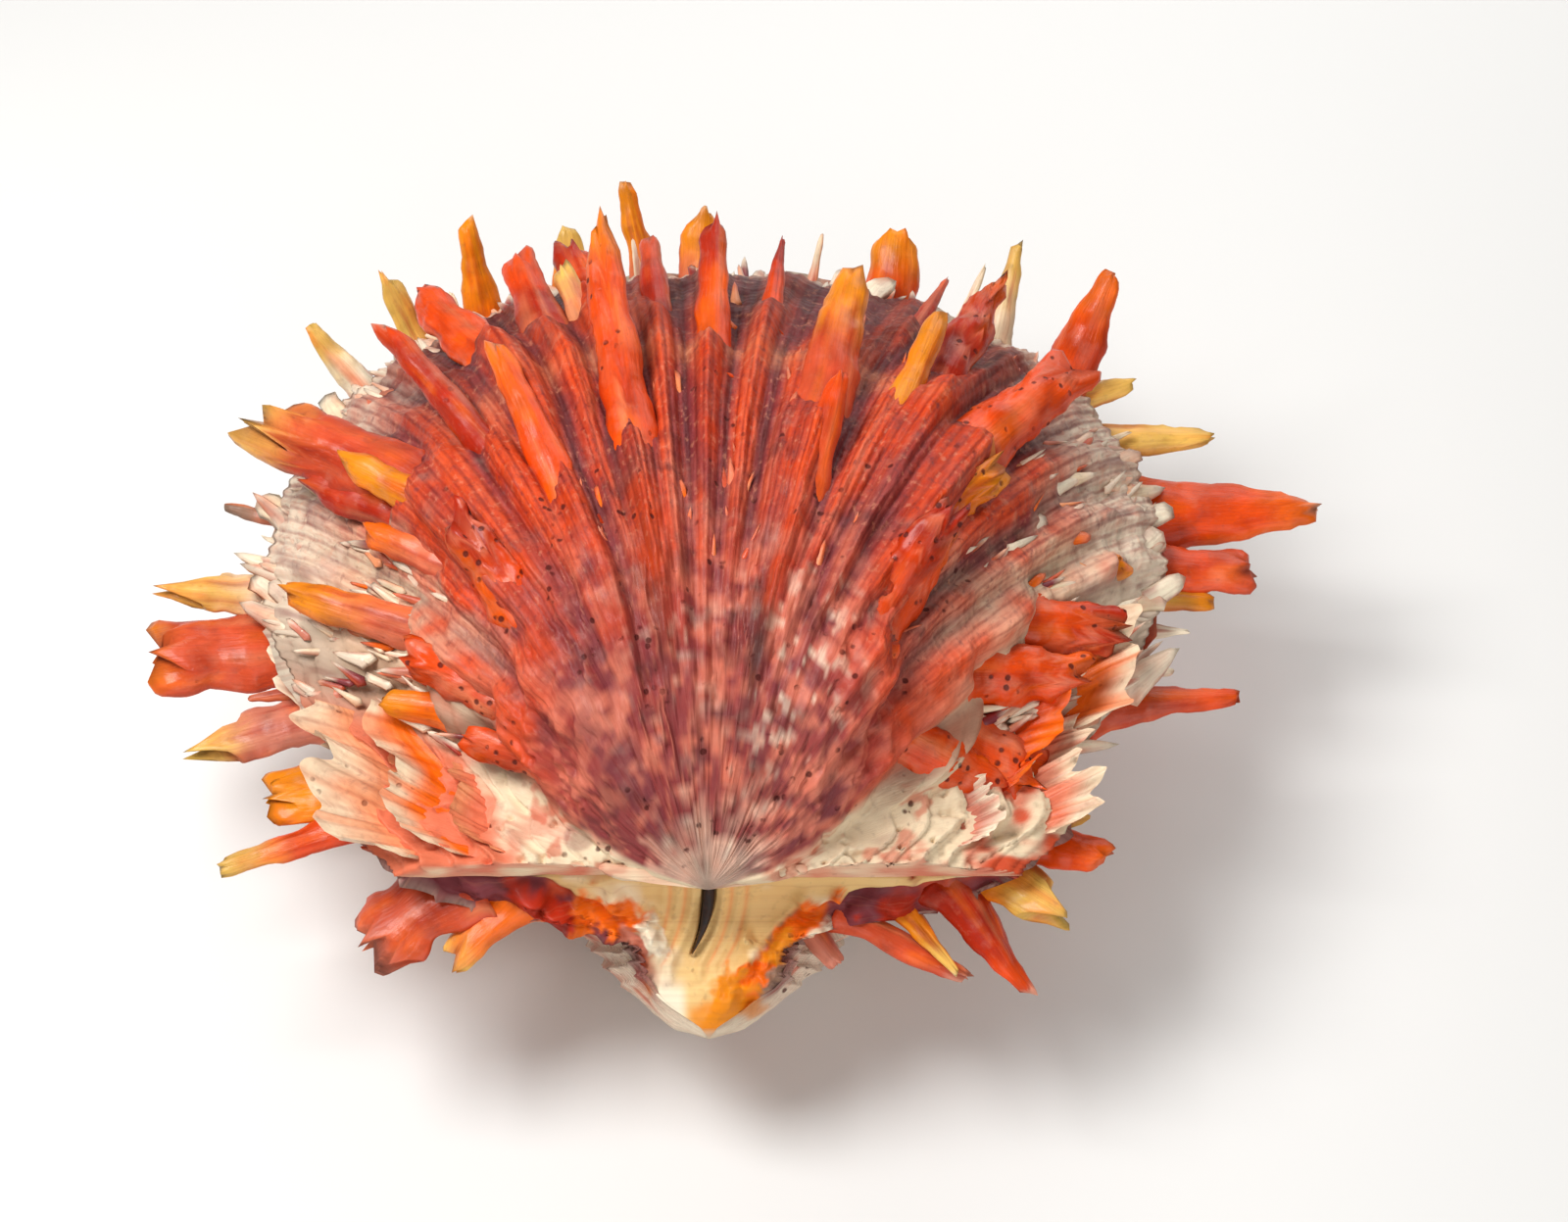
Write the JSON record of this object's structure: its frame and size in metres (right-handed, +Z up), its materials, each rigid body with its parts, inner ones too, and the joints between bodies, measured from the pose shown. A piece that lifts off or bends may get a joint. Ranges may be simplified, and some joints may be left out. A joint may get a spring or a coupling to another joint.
{
  "type": "spiny oyster shell",
  "caption": "Closed two-valved spiny oyster shell with red and orange spines, lying on the flat scar where it was cut from rock.",
  "frame": {"origin": "centre of the flat attachment scar that the shell rests on", "axes": "+Z up, through the domed upper valve; +X to the right along the hinge line, seen from the hinge side; +Y from the hinge towards the far margin"},
  "size_m": [0.1461, 0.1172, 0.0636],
  "materials": {
    "upper_shell": "red, orange and mauve ribbed shell, glossy on the spines and satin between them",
    "lower_shell": "cream, orange and pink shell, satin, chalky on the hinge face",
    "ligament": "dry, dark brown and matte"
  },
  "bodies": {
    "root": {"upper_valve": "upper_shell", "lower_valve": "lower_shell", "hinge_ligament": "ligament"}
  },
  "joints": []
}
